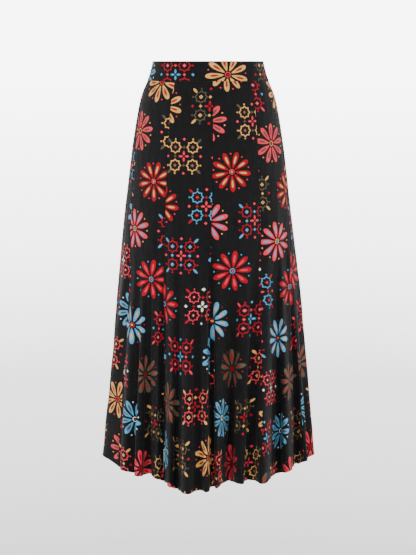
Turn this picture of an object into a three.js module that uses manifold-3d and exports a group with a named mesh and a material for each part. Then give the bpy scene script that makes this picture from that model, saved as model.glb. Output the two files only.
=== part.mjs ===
// Full-length flared skirt: eight gores fluted at the hem, a shaped waistband, a shorter lining
// and a concealed zip at the centre back, in the hollow form it has when worn.
// Millimetres, +Z up. The front faces -Y. Left and right are the wearer's, so left is +X.
// The origin is the centre of the waist opening, in the plane of the waistband's top edge.
// "Drop" is the distance below that plane, and "turn" is an angle round the skirt: 0 at the centre
// front, growing towards the wearer's left.
import * as THREE from 'three';
import { mergeVertices } from 'three/addons/utils/BufferGeometryUtils.js';
import Module from 'manifold-3d';

const wasm = await Module();
wasm.setup();

// Lengths down the skirt
const LENGTH = 944;
const BAND_DEPTH = 44;
const HEM_TURN = 17;
const LINING_END = 892;
const ZIP_END = 206;

// Cloth thicknesses and clearances
const WALL = 1.2;
const HEM_WALL = 2.2;
const BAND_WALL = 2.4;
const LINING_WALL = 1.0;
const SEAM_GAP = 0.3;

// Zip
const ZIP_WIDTH = 5;
const ZIP_WALL = 1.6;
const ZIP_TOP = 2;
const SLIDER = { drop: 7, width: 5.4, length: 8, height: 1.6, lug: 1, pinHeight: 1.6, pinRadius: 0.5 };
const PULL = { width: 6, neck: 2.6, length: 24, thickness: 1, eyeRadius: 1.25, hole: 1.2 };

// Smooth worn form, a row for each section. halfWidth is to either side of the middle, front and
// back are the depths before and behind it.
const SECTIONS = [
  { drop: 0, halfWidth: 125.5, front: 93, back: 96 },
  { drop: 25, halfWidth: 131.5, front: 97, back: 102 },
  { drop: 44, halfWidth: 138.5, front: 102, back: 108 },
  { drop: 70, halfWidth: 150, front: 109, back: 119 },
  { drop: 98, halfWidth: 158, front: 114, back: 127 },
  { drop: 134, halfWidth: 165, front: 119, back: 134 },
  { drop: 194, halfWidth: 175, front: 126, back: 142 },
  { drop: 268, halfWidth: 184.5, front: 133, back: 148 },
  { drop: 343, halfWidth: 193.5, front: 140, back: 153 },
  { drop: 419, halfWidth: 202.5, front: 147, back: 158 },
  { drop: 496, halfWidth: 211, front: 154, back: 163 },
  { drop: 612, halfWidth: 222, front: 167, back: 172 },
  { drop: 731, halfWidth: 233, front: 180, back: 182 },
  { drop: 851, halfWidth: 243, front: 192, back: 193 },
  { drop: 944, halfWidth: 250, front: 200, back: 200 },
];

// Flutes at the hem, in order round the skirt from the wearer's right side through the front. Each
// row has the plan position of the crest, that of the valley after it, and the drop where it begins.
// lower is how far the hem hangs below the rest there.
const FLUTES = [
  { crest: [-257, -4], valley: [-214, -56], from: 470 },
  { crest: [-202, -110], valley: [-168, -116], from: 400 },
  { crest: [-165, -149], valley: [-137, -116], from: 430 },
  { crest: [-118, -162], valley: [-102, -148], from: 520 },
  { crest: [-88, -218], valley: [-73, -197], from: 380 },
  { crest: [-50, -252], valley: [-18, -228], from: 420, lower: 4 },
  { crest: [-1, -243], valley: [9, -200], from: 360, lower: 3 },
  { crest: [22, -225], valley: [47, -134], from: 470 },
  { crest: [72, -200], valley: [93, -164], from: 420 },
  { crest: [130, -196], valley: [162, -82], from: 380 },
  { crest: [188, -116], valley: [214, -28], from: 400 },
  { crest: [236, -46], valley: [237, -14], from: 500 },
  { crest: [260, 8], valley: [230, 42], from: 440 },
  { crest: [253, 82], valley: [216, 92], from: 400 },
  { crest: [222, 132], valley: [182, 128], from: 470 },
  { crest: [168, 180], valley: [128, 158], from: 390 },
  { crest: [106, 207], valley: [66, 176], from: 440 },
  { crest: [34, 229], valley: [2, 184], from: 400 },
  { crest: [-28, 224], valley: [-62, 179], from: 460 },
  { crest: [-98, 212], valley: [-126, 153], from: 400 },
  { crest: [-164, 178], valley: [-182, 118], from: 430 },
  { crest: [-226, 128], valley: [-216, 80], from: 470 },
  { crest: [-252, 62], valley: [-230, 30], from: 420 },
];
const CURL = 0.6;
const CURL_LIMIT = 0.15;
const GROWTH = 1.05;
const HEM_STEPS = 2400;
const HEM_ROUNDING = 4.5;
const START_ROUNDING = 30;

// Seams between gores, in order round the skirt: turn at the waist, hip and thigh, and the place on
// the hem in flutes, where 4 is the valley after the fourth row.
const SEAMS = [
  { waist: -84, hip: -72, thigh: -60, hem: 0.92 },
  { waist: -32, hip: -31, thigh: -29, hem: 3.98 },
  { waist: 4.5, hip: 3.5, thigh: 1.5, hem: 7.0 },
  { waist: 43, hip: 40, thigh: 36.5, hem: 9.42 },
  { waist: 90, hip: 78, thigh: 68, hem: 11.42 },
  { waist: 135, hip: 131, thigh: 129, hem: 15.0 },
  { waist: 180, hip: 180, thigh: 180, hem: 18.0 },
  { waist: 226, hip: 231, thigh: 235, hem: 21.0 },
];
const SEAM_DROPS = { waist: 44, hip: 194, thigh: 496 };

const GORES = [
  { name: 'gore_front_side_right', seam: 0 },
  { name: 'gore_front_centre_right', seam: 1 },
  { name: 'gore_front_centre_left', seam: 2 },
  { name: 'gore_front_side_left', seam: 3 },
  { name: 'gore_back_side_left', seam: 4 },
  { name: 'gore_back_centre_left', seam: 5, zip: 'end' },
  { name: 'gore_back_centre_right', seam: 6, zip: 'start' },
  { name: 'gore_back_side_right', seam: 7 },
];
// Columns of each gore follow its flutes: parts of the way from one valley to the next
const FLUTE_PARTS = [0, 0.17, 0.36, 0.5, 0.64, 0.83];
const LEAST_COLUMN = 0.022;
const GORE_DROPS = [44.3, 70, 98, 134, 194, 268, 343, 419, 496, 570, 650, 730, 810, 880, 926.8, 927.2, 944];

// Waistband pieces by the turns between which they lie
const BAND_PIECES = [
  { name: 'waistband_front', from: -84, to: 90, columns: 16 },
  { name: 'waistband_back_left', from: 90, to: 180, columns: 9, zip: 'end' },
  { name: 'waistband_back_right', from: 180, to: 276, columns: 9, zip: 'start' },
];
const BAND_DROPS = [0, 11, 22, 33, 44];

// Lining, cut narrower than the skirt below the hip, in gentle waves of its own
const LINING_PANELS = [
  { name: 'lining_front_right', from: -88, to: 2 },
  { name: 'lining_front_left', from: 2, to: 92 },
  { name: 'lining_back_left', from: 92, to: 180 },
  { name: 'lining_back_right', from: 180, to: 272 },
];
const LINING_COLUMNS = 12;
const LINING_DROPS = [45.2, 70, 98, 134, 194, 268, 400, 560, 730, 892];
const LINING_INSET = { top: 1.8, hip: 3 };
const LINING_HEM = { halfWidth: 196, front: 126, back: 150, from: 194 };
const LINING_WAVE = { count: 9, depth: 9, from: 450 };

const COLOURS = {
  cloth: { color: 0x242426, roughness: 0.85, metalness: 0 },
  lining: { color: 0x141416, roughness: 0.7, metalness: 0 },
  tape: { color: 0x1a1a1c, roughness: 0.6, metalness: 0 },
  metal: { color: 0x2b2b2e, roughness: 0.35, metalness: 0.7 },
};

const radians = THREE.MathUtils.degToRad;

// Value of a column of a table at a place, by a smooth curve through its rows
function along(rows, place, column, at) {
  const last = rows.length - 1;
  let i = 0;
  while (i < last - 1 && rows[i + 1][place] < at) i += 1;
  const [a, b] = [rows[i], rows[i + 1]];
  const before = rows[Math.max(i - 1, 0)];
  const after = rows[Math.min(i + 2, last)];
  const span = b[place] - a[place];
  const u = THREE.MathUtils.clamp((at - a[place]) / span, 0, 1);
  const slopeA = ((b[column] - before[column]) / (b[place] - before[place])) * span;
  const slopeB = ((after[column] - a[column]) / (after[place] - a[place])) * span;
  const rise = b[column] - a[column];
  const square = 3 * rise - 2 * slopeA - slopeB;
  const cube = slopeA + slopeB - 2 * rise;
  return a[column] + slopeA * u + square * u ** 2 + cube * u ** 3;
}

// Point of an oval section at a turn
function ovalPoint(halfWidth, front, back, turn) {
  const across = Math.sin(radians(turn));
  const ahead = Math.cos(radians(turn));
  return new THREE.Vector2(halfWidth * across, -(ahead > 0 ? front : back) * ahead);
}

function smoothPoint(turn, drop) {
  const size = (column) => along(SECTIONS, 'drop', column, drop);
  return ovalPoint(size('halfWidth'), size('front'), size('back'), turn);
}

// The hem's plan curve: from valley to valley each flute rises over its crest and curls in at its
// neck, as a strip of cloth does that is too long for the space it has.
function hemCurve() {
  const dense = [];
  const perFlute = 90;
  FLUTES.forEach((flute, i) => {
    const start = new THREE.Vector2(...FLUTES.at(i - 1).valley);
    const chord = new THREE.Vector2(...flute.valley).sub(start);
    const width = chord.length();
    const ahead = chord.clone().divideScalar(width);
    const rise = new THREE.Vector2(...flute.crest).sub(start).addScaledVector(chord, -0.5);
    const half = Math.abs(rise.cross(ahead)) / 2;
    const curl = Math.min((CURL * half * half) / width, CURL_LIMIT * width);
    for (let k = 0; k < perFlute; k += 1) {
      const s = k / perFlute;
      const point = start.clone().addScaledVector(chord, s);
      point.addScaledVector(rise, (1 - Math.cos(2 * Math.PI * s)) / 2);
      point.addScaledVector(ahead, curl * Math.sin(4 * Math.PI * s));
      dense.push({ x: point.x, y: point.y, place: i + s, from: flute.from, lower: flute.lower ?? 0 });
    }
  });
  return dense;
}

// The same curve in even steps of cloth, rounded, with the place of each step
function evenHem() {
  const dense = hemCurve();
  const lengths = [0];
  dense.forEach((a, i) => {
    const b = dense[(i + 1) % dense.length];
    lengths.push(lengths[i] + Math.hypot(b.x - a.x, b.y - a.y));
  });
  const total = lengths[dense.length];
  const steps = [];
  let j = 0;
  for (let i = 0; i < HEM_STEPS; i += 1) {
    const at = (i / HEM_STEPS) * total;
    while (lengths[j + 1] < at) j += 1;
    const u = (at - lengths[j]) / (lengths[j + 1] - lengths[j]);
    const [a, b] = [dense[j], dense[(j + 1) % dense.length]];
    const nextPlace = j + 1 === dense.length ? FLUTES.length : b.place;
    steps.push({
      x: a.x + (b.x - a.x) * u,
      y: a.y + (b.y - a.y) * u,
      place: a.place + (nextPlace - a.place) * u,
      from: a.from,
      lower: a.lower,
    });
  }
  const stride = total / HEM_STEPS;
  const shaped = rounded(steps, ['x', 'y'], HEM_ROUNDING / stride);
  return rounded(shaped, ['from', 'lower'], START_ROUNDING / stride);
}

// Bell-weighted mean of some columns of a closed row of steps
function rounded(steps, columns, reach) {
  const far = Math.ceil(3 * reach);
  const weights = [];
  for (let k = -far; k <= far; k += 1) weights.push(Math.exp(-0.5 * (k / reach) ** 2));
  const sum = weights.reduce((a, b) => a + b, 0);
  return steps.map((step, i) => {
    const mean = { ...step };
    for (const column of columns) {
      mean[column] = 0;
      weights.forEach((w, k) => {
        const at = (i + k - far + steps.length) % steps.length;
        mean[column] += (w / sum) * steps[at][column];
      });
    }
    return mean;
  });
}

const HEM = evenHem();

// Cloth position round the hem, from 0 to 1, of a place counted in flutes
function clothAt(place) {
  return HEM.findIndex((step) => step.place >= place) / HEM_STEPS;
}

function hemStep(cloth) {
  const at = (((cloth % 1) + 1) % 1) * HEM_STEPS;
  const i = Math.floor(at);
  const u = at - i;
  const [a, b] = [HEM[i], HEM[(i + 1) % HEM_STEPS]];
  const mix = (column) => a[column] + (b[column] - a[column]) * u;
  return { x: mix('x'), y: mix('y'), from: mix('from'), lower: mix('lower') };
}

// A seam by its number, going on round the skirt after the last one
function seamAt(number) {
  const seam = SEAMS[number % SEAMS.length];
  const rounds = Math.floor(number / SEAMS.length);
  return {
    waist: seam.waist + 360 * rounds,
    hip: seam.hip + 360 * rounds,
    thigh: seam.thigh + 360 * rounds,
    cloth: clothAt(seam.hem) + rounds,
  };
}

function seamTurn(seam, drop) {
  const rows = Object.entries(SEAM_DROPS).map(([name, at]) => ({ drop: at, turn: seam[name] }));
  return along(rows, 'drop', 'turn', drop);
}

// Point of the skirt's middle surface: share goes from 0 to 1 across a gore
function skirtPoint(gore, share, drop) {
  const [a, b] = [seamAt(gore.seam), seamAt(gore.seam + 1)];
  const turnAt = (d) => seamTurn(a, d) + (seamTurn(b, d) - seamTurn(a, d)) * share;
  const hem = hemStep(a.cloth + (b.cloth - a.cloth) * share);
  const plain = smoothPoint(turnAt(drop), drop);
  const below = smoothPoint(turnAt(LENGTH), LENGTH);
  const grown = Math.max(0, (drop - hem.from) / (LENGTH - hem.from)) ** GROWTH;
  return new THREE.Vector3(
    plain.x + (hem.x - below.x) * grown,
    plain.y + (hem.y - below.y) * grown,
    -drop - hem.lower * grown,
  );
}

// Closed wall about a middle surface. surface(u, v) gives its points for u across and v down, and
// thickness(v) gives the wall's thickness there.
function wall(surface, across, down, thickness) {
  const [nu, nv] = [across.length, down.length];
  const step = 1e-3;
  const positions = [];
  for (const side of [0.5, -0.5]) {
    for (const v of down) {
      for (const u of across) {
        const middle = surface(u, v);
        const alongU = surface(u + step, v).sub(surface(u - step, v));
        const alongV = surface(u, v + step * 10).sub(surface(u, v - step * 10));
        const outward = alongV.cross(alongU).normalize();
        middle.addScaledVector(outward, side * thickness(v));
        positions.push(middle.x, middle.y, middle.z);
      }
    }
  }
  const index = [];
  const quad = (a, b, c, d) => index.push(a, b, c, a, c, d);
  const outer = (i, j) => j * nu + i;
  const inner = (i, j) => nu * nv + j * nu + i;
  for (let j = 0; j < nv - 1; j += 1) {
    for (let i = 0; i < nu - 1; i += 1) {
      quad(outer(i, j), outer(i, j + 1), outer(i + 1, j + 1), outer(i + 1, j));
      quad(inner(i, j), inner(i + 1, j), inner(i + 1, j + 1), inner(i, j + 1));
    }
    quad(outer(0, j), inner(0, j), inner(0, j + 1), outer(0, j + 1));
    quad(outer(nu - 1, j), outer(nu - 1, j + 1), inner(nu - 1, j + 1), inner(nu - 1, j));
  }
  for (let i = 0; i < nu - 1; i += 1) {
    quad(outer(i, 0), outer(i + 1, 0), inner(i + 1, 0), inner(i, 0));
    quad(outer(i, nv - 1), inner(i, nv - 1), inner(i + 1, nv - 1), outer(i + 1, nv - 1));
  }
  const geometry = new THREE.BufferGeometry();
  geometry.setAttribute('position', new THREE.Float32BufferAttribute(positions, 3));
  geometry.setIndex(index);
  geometry.computeVertexNormals();
  return geometry;
}

function evenly(count) {
  return Array.from({ length: count + 1 }, (_, i) => i / count);
}

// Moves a cut edge back from its seam: share is 0 to 1 across a piece, and start and end are the
// distances kept free beside its two edges.
function trimmed(share, width, start, end) {
  return start / width + share * (1 - (start + end) / width);
}

const skirt = new THREE.Group();

function add(name, geometry, material, parent = skirt) {
  const mesh = new THREE.Mesh(geometry, new THREE.MeshStandardMaterial(COLOURS[material]));
  mesh.name = name;
  parent.add(mesh);
}

// Distance that a piece keeps from its seam, or from the centre back to clear the zip
function clearance(besideZip, drop) {
  return besideZip && drop <= ZIP_END ? ZIP_WIDTH / 2 + SEAM_GAP : SEAM_GAP / 2;
}

// Width of a surface across a piece at one drop
function widthAcross(surface, drop) {
  const points = evenly(80).map((share) => surface(share, drop));
  return points.slice(1).reduce((sum, point, i) => sum + point.distanceTo(points[i]), 0);
}

// A piece's surface with its edges moved back from its seams
function cutPiece(surface, zip) {
  const widths = new Map();
  return (share, drop) => {
    const key = Math.round(drop);
    if (!widths.has(key)) widths.set(key, widthAcross(surface, key));
    const [start, end] = [clearance(zip === 'start', drop), clearance(zip === 'end', drop)];
    return surface(trimmed(share, widths.get(key), start, end), drop);
  };
}

// Shares across a gore of its edges and of its flutes' valleys, flanks and crests
function goreColumns(gore) {
  const [a, b] = [seamAt(gore.seam), seamAt(gore.seam + 1)];
  const shares = [0];
  for (let i = 0; i < 2 * FLUTES.length; i += 1) {
    for (const part of FLUTE_PARTS) {
      const rounds = Math.floor(i / FLUTES.length);
      const cloth = clothAt((i % FLUTES.length) + part) + rounds;
      const share = (cloth - a.cloth) / (b.cloth - a.cloth);
      if (share > shares.at(-1) + LEAST_COLUMN && share < 1 - LEAST_COLUMN) shares.push(share);
    }
  }
  return [...shares, 1];
}

function makeGores() {
  for (const gore of GORES) {
    const surface = cutPiece((share, drop) => skirtPoint(gore, share, drop), gore.zip);
    const zipRows = gore.zip ? [ZIP_END, ZIP_END + 4] : [];
    const drops = [...GORE_DROPS, ...zipRows].sort((p, q) => p - q);
    const thickness = (drop) => (drop > LENGTH - HEM_TURN ? HEM_WALL : WALL);
    add(gore.name, wall(surface, goreColumns(gore), drops, thickness), 'cloth');
  }
}

function makeWaistband() {
  for (const piece of BAND_PIECES) {
    const plain = (share, drop) => {
      const point = smoothPoint(piece.from + (piece.to - piece.from) * share, drop);
      return new THREE.Vector3(point.x, point.y, -drop);
    };
    const surface = cutPiece(plain, piece.zip);
    add(piece.name, wall(surface, evenly(piece.columns), BAND_DROPS, () => BAND_WALL), 'cloth');
  }
}

// Point of the lining: close behind the skirt down to the hip, then cut narrower than it
function liningPoint(turn, drop) {
  const top = LINING_HEM.from;
  const lower = THREE.MathUtils.clamp((drop - top) / (LINING_END - top), 0, 1);
  const toHip = THREE.MathUtils.clamp((drop - BAND_DEPTH) / (top - BAND_DEPTH), 0, 1);
  const inset = LINING_INSET.top + (LINING_INSET.hip - LINING_INSET.top) * toHip;
  const size = (column) => {
    const close = along(SECTIONS, 'drop', column, Math.min(drop, top)) - inset;
    return close + (LINING_HEM[column] - close) * lower;
  };
  const grown = Math.max(0, (drop - LINING_WAVE.from) / (LINING_END - LINING_WAVE.from));
  const wave = (LINING_WAVE.depth / 2) * grown * Math.cos(radians(LINING_WAVE.count * turn));
  const point = ovalPoint(size('halfWidth') + wave, size('front') + wave, size('back') + wave, turn);
  return new THREE.Vector3(point.x, point.y, -drop);
}

function makeLining() {
  for (const panel of LINING_PANELS) {
    const turnAt = (share) => panel.from + (panel.to - panel.from) * share;
    const surface = cutPiece((share, drop) => liningPoint(turnAt(share), drop));
    add(panel.name, wall(surface, evenly(LINING_COLUMNS), LINING_DROPS, () => LINING_WALL), 'lining');
  }
}

// Point of the skirt's middle surface beside the centre back, across from the wearer's left
function backPoint(across, drop) {
  const halfWidth = along(SECTIONS, 'drop', 'halfWidth', drop);
  const turn = 180 - THREE.MathUtils.radToDeg(Math.asin(across / halfWidth));
  const point = smoothPoint(turn, drop);
  return new THREE.Vector3(point.x, point.y, -drop);
}

function makeZipStrip() {
  const surface = (share, drop) => backPoint(ZIP_WIDTH * (0.5 - share), drop);
  const drops = [ZIP_TOP, 11, 22, 33, 44, 56, 70, 98, 134, 170, ZIP_END - SEAM_GAP];
  add('zip_strip', wall(surface, evenly(3), drops, () => ZIP_WALL), 'tape');
}

// Plate with round corners, in the XY plane, its thickness along +Z
function plate(outline, thickness, hole) {
  if (hole) outline.holes.push(hole);
  return new THREE.ExtrudeGeometry(outline, { depth: thickness, bevelEnabled: false, curveSegments: 4 });
}

function merged(geometries) {
  const solids = geometries.map((geometry) => {
    const bare = geometry.index ? geometry.toNonIndexed() : geometry;
    bare.deleteAttribute('uv');
    bare.deleteAttribute('normal');
    const joined = mergeVertices(bare, 1e-4);
    return new wasm.Manifold(new wasm.Mesh({
      numProp: 3,
      vertProperties: new Float32Array(joined.attributes.position.array),
      triVerts: new Uint32Array(joined.index.array),
    }));
  });
  const whole = solids.slice(1).reduce((sum, solid) => sum.add(solid), solids[0]).getMesh();
  const geometry = new THREE.BufferGeometry();
  geometry.setAttribute('position', new THREE.Float32BufferAttribute(whole.vertProperties, 3));
  geometry.setIndex([...whole.triVerts]);
  geometry.computeVertexNormals();
  return geometry;
}

// Slider at the top of the zip and the pull tab on its pin. Their group has +X along the pin, +Z up
// the zip and +Y out of the cloth, with its origin on the pin.
function makeSlider() {
  const above = backPoint(0, SLIDER.drop - 4);
  const below = backPoint(0, SLIDER.drop + 4);
  const lean = Math.atan2(below.y - above.y, above.z - below.z);
  const group = new THREE.Group();
  const lift = ZIP_WALL / 2 + SEAM_GAP + SLIDER.height + SLIDER.pinHeight;
  group.position.copy(backPoint(0, SLIDER.drop));
  group.position.y += lift * Math.cos(lean);
  group.position.z += lift * Math.sin(lean);
  group.rotation.x = lean;
  skirt.add(group);

  const body = new THREE.BoxGeometry(SLIDER.width, SLIDER.height, SLIDER.length);
  body.translate(0, -SLIDER.pinHeight - SLIDER.height / 2, -SLIDER.length / 6);
  const pieces = [body];
  const lugRise = SLIDER.pinHeight + SLIDER.pinRadius * 1.6;
  for (const side of [-1, 1]) {
    const lug = new THREE.BoxGeometry(SLIDER.lug, lugRise + 0.2, 2.4);
    lug.translate(side * (SLIDER.width - SLIDER.lug) / 2, -SLIDER.pinHeight - 0.2 + (lugRise + 0.2) / 2, 0);
    pieces.push(lug);
  }
  const pin = new THREE.CylinderGeometry(SLIDER.pinRadius, SLIDER.pinRadius, SLIDER.width - SLIDER.lug, 12);
  pin.rotateZ(Math.PI / 2);
  pieces.push(pin);
  add('zip_slider', merged(pieces), 'metal', group);
  add('zip_pull', pullTab(), 'metal', group);
}

// Pull tab: an eye round the pin, a narrow neck and a drop-shaped tab with a round hole
function pullTab() {
  const inner = SLIDER.pinRadius + SEAM_GAP;
  const eye = new THREE.Shape().absarc(0, 0, PULL.eyeRadius, 0, 2 * Math.PI);
  const ring = plate(eye, PULL.neck, new THREE.Path().absarc(0, 0, inner, 0, 2 * Math.PI, true));
  ring.translate(0, 0, -PULL.neck / 2);
  ring.rotateY(Math.PI / 2);

  const tab = new THREE.Shape();
  const centre = -(PULL.length - PULL.width / 2);
  tab.moveTo(PULL.neck / 2, -inner - 0.25);
  tab.lineTo(-PULL.neck / 2, -inner - 0.25);
  tab.lineTo(-PULL.neck / 2, -PULL.eyeRadius - 2);
  tab.lineTo(-PULL.width / 2, centre);
  tab.absarc(0, centre, PULL.width / 2, Math.PI, 2 * Math.PI);
  tab.lineTo(PULL.neck / 2, -PULL.eyeRadius - 2);
  const hole = new THREE.Path().absarc(0, centre, PULL.hole, 0, 2 * Math.PI, true);
  const sheet = plate(tab, PULL.thickness, hole);
  sheet.translate(0, 0, -PULL.thickness / 2);
  sheet.rotateX(Math.PI / 2);
  return merged([ring, sheet]);
}

makeGores();
makeWaistband();
makeLining();
makeZipStrip();
makeSlider();

export default skirt;
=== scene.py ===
import math
from functools import partial

import bmesh
import bpy
import numpy as np
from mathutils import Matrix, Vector


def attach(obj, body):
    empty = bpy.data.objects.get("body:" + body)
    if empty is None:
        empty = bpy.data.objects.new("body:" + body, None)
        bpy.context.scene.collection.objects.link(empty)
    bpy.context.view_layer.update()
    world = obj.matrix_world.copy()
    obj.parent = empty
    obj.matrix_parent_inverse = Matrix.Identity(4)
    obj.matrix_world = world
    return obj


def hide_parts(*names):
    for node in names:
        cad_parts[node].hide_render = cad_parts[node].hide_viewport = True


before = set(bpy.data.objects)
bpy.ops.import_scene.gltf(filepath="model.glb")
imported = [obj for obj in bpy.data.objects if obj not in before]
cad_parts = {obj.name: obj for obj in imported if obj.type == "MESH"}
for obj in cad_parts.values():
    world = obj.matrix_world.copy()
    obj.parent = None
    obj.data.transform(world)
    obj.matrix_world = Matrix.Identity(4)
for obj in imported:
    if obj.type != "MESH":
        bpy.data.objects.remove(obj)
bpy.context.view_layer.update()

# Full-length gored skirt. Sizes are in millimetres until the points go into a mesh, which is in metres.
# The front faces -Y and +X is the wearer's left. "Drop" is the distance below the waistband's top
# edge, "turn" is an angle round the skirt from the centre front, and "share" goes from 0 to 1
# across a piece.
MM = 0.001
LENGTH = 944.0  # drop of the hem
BAND_DEPTH = 44.0  # drop of the waistband's lower edge
GORE_TOP = 44.3
HEM_TURN = 16.0  # cloth turned up inside the hem
LINING_END = 892.0  # drop of the lining's hem
ZIP_END = 206.0  # drop of the zip's lower end
ZIP_WIDTH = 5.0
SEAM_GAP = 0.3  # beside the zip
SEWN_GAP = 0.04  # at every other seam
CLOTH = 0.8  # thickness of the gores
LINING_CLOTH = 0.5
BAND_CLOTH = 2.4  # thickness of the whole folded waistband
PROBE = 0.5  # step that measures widths and directions near a point

# Smooth worn form: drop, half width, depth in front, depth behind
SECTIONS = np.array([
    (0, 125.5, 93, 96), (25, 131.5, 97, 102), (44, 138.5, 102, 108), (70, 150, 109, 119),
    (98, 158, 114, 127), (134, 165, 119, 134), (194, 175, 126, 142), (268, 184.5, 133, 148),
    (343, 193.5, 140, 153), (419, 202.5, 147, 158), (496, 211, 154, 163), (612, 222, 167, 172),
    (731, 233, 180, 182), (851, 243, 192, 193), (944, 250, 200, 200)])

# Flutes at the hem: crest x and y, following valley x and y, drop where it begins, extra length
FLUTES = np.array([
    (-257, -4, -214, -56, 470, 0), (-202, -110, -168, -116, 400, 0), (-165, -149, -137, -116, 430, 0),
    (-118, -162, -102, -148, 520, 0), (-88, -218, -73, -197, 380, 0), (-50, -252, -18, -228, 420, 4),
    (-1, -243, 9, -200, 360, 3), (22, -225, 47, -134, 470, 0), (72, -200, 93, -164, 420, 0),
    (130, -196, 162, -82, 380, 0), (188, -116, 214, -28, 400, 0), (236, -46, 237, -14, 500, 0),
    (260, 8, 230, 42, 440, 0), (253, 82, 216, 92, 400, 0), (222, 132, 182, 128, 470, 0),
    (168, 180, 128, 158, 390, 0), (106, 207, 66, 176, 440, 0), (34, 229, 2, 184, 400, 0),
    (-28, 224, -62, 179, 460, 0), (-98, 212, -126, 153, 400, 0), (-164, 178, -182, 118, 430, 0),
    (-226, 128, -216, 80, 470, 0), (-252, 62, -230, 30, 420, 0)], float)
# How far a flute's sides curl over, and the most as a share of its width. The power by which flutes
# grow downward
CURL, CURL_LIMIT, GROWTH = 0.6, 0.15, 1.05
# The hem hangs lower in the valleys, where the cloth's way down is straighter: a share of how far
# each point lies inside the smooth form, and so many millimetres more in the valley after each flute,
# with the power that narrows them
VALLEY_SAG, VALLEY_POWER = 0.15, 1.5
VALLEY_DROPS = [10, 2, 2, 8, 12, 2, 5, 8, 2, 12, 12, 8, 6, 4, 8, 10, 6, 5, 8, 6, 9, 5, 7]
# The hem's curve: points in a flute, even steps in all, and how far round a point reaches the
# rounding of the curve and of the flutes' starts
PER_FLUTE, HEM_STEPS = 90, 2400
HEM_ROUNDING, START_ROUNDING = 3.2, 30.0

# Seams between gores: turn at the waist, hip and thigh, and place on the hem in flutes
SEAMS = np.array([
    (-84, -72, -60, 0.92), (-32, -31, -29, 3.98), (4.5, 3.5, 1.5, 7.0), (43, 40, 36.5, 9.42),
    (90, 78, 68, 11.42), (135, 131, 129, 15.0), (180, 180, 180, 18.0), (226, 231, 235, 21.0)])
SEAM_DROPS = (44, 194, 496)

# Gores: name, where each was cut from the printed cloth, across and down, and its edge at the zip
GORES = [
    ("front_side_right", (31, 64), None), ("front_centre_right", (118, 12), None),
    ("front_centre_left", (66, 88), None), ("front_side_left", (9, 37), None),
    ("back_side_left", (142, 71), None), ("back_centre_left", (83, 20), "end"),
    ("back_centre_right", (20, 52), "start"), ("back_side_right", (101, 95), None)]
GORE_COLUMNS, GORE_ROWS = 110, 150

# Waistband: name, turns of both ends, place on the printed cloth, and the edge at the zip
BAND_PIECES = [
    ("waistband_front", -84, 90, (20, 80), None), ("waistband_back_left", 90, 180, (12, 77), "end"),
    ("waistband_back_right", 180, 276, (90, 15), "start")]

# Lining: name and turns of both edges. How far inside the skirt's form it lies at the waistband and at
# the hip, the drop where it leaves that form, and its half width and depths at its hem. Its waves:
# number, depth and the drop where they begin
LINING_PANELS = [
    ("lining_front_right", -88, 2), ("lining_front_left", 2, 92),
    ("lining_back_left", 92, 180), ("lining_back_right", 180, 272)]
LINING_INSET = (1.8, 3.0)
LINING_FROM = 194.0
LINING_HEM = (196.0, 126.0, 150.0)
WAVE_COUNT, WAVE_DEPTH, WAVE_FROM = 9, 9.0, 450.0


def smooth_rows(rows, at):
    """Values of a table's columns at some places, by a smooth curve through its rows."""
    rows, at = np.asarray(rows, float), np.asarray(at, float)
    place, values = rows[:, 0], rows[:, 1:]
    last = len(rows) - 1
    i = np.clip(np.searchsorted(place, at, side="left") - 1, 0, last - 1)
    before, after = np.maximum(i - 1, 0), np.minimum(i + 2, last)
    span = place[i + 1] - place[i]
    u = np.clip((at - place[i]) / span, 0, 1)[..., None]
    wide = span[..., None]
    slope_a = (values[i + 1] - values[before]) / (place[i + 1] - place[before])[..., None] * wide
    slope_b = (values[after] - values[i]) / (place[after] - place[i])[..., None] * wide
    rise = values[i + 1] - values[i]
    return (values[i] + slope_a * u + (3 * rise - 2 * slope_a - slope_b) * u**2
            + (slope_a + slope_b - 2 * rise) * u**3)


def spread(share, drop):
    """Shares and drops as arrays of one shape."""
    return np.broadcast_arrays(np.asarray(share, float), np.asarray(drop, float))


def unit(vectors):
    return vectors / np.linalg.norm(vectors, axis=-1, keepdims=True)


def oval(size, turn):
    """Point at a turn of an oval. Its size is a half width and the depths in front and behind."""
    half_width, front, back = np.moveaxis(size, -1, 0)
    across, ahead = np.sin(np.radians(turn)), np.cos(np.radians(turn))
    return np.stack([half_width * across, -np.where(ahead > 0, front, back) * ahead], -1)


def smooth_point(turn, drop):
    """Point of the smooth worn form, seen from above."""
    return oval(smooth_rows(SECTIONS, drop), turn)


def bell_mean(values, reach):
    """Bell-weighted mean along a closed row."""
    far = int(math.ceil(3 * reach))
    weights = np.exp(-0.5 * (np.arange(-far, far + 1) / reach) ** 2)
    weights /= weights.sum()
    return sum(w * np.roll(values, far - k, axis=0) for k, w in enumerate(weights))


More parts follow.
